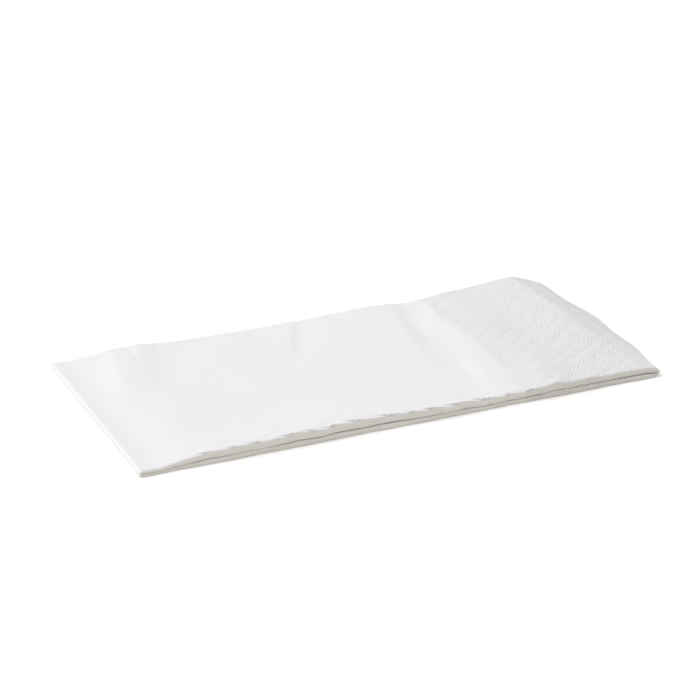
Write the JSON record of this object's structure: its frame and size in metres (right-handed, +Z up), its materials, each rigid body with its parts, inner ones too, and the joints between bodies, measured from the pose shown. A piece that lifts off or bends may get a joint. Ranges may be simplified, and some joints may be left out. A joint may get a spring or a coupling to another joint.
{
  "type": "paper napkin",
  "caption": "White tissue dinner napkin in a long rectangular fold, with rounded folds along one side, a cross fold at one end and an embossed border at the open end.",
  "frame": {"origin": "middle of the flat underside", "axes": "+X along the length, from the cross fold to the open end; +Y across, from the folded long side to the side with the free edges; +Z up"},
  "size_m": [0.2, 0.1, 0.0067],
  "materials": {
    "tissue": "matte white tissue, embossed at the border"
  },
  "bodies": {
    "root": {"napkin": "tissue"}
  },
  "joints": []
}
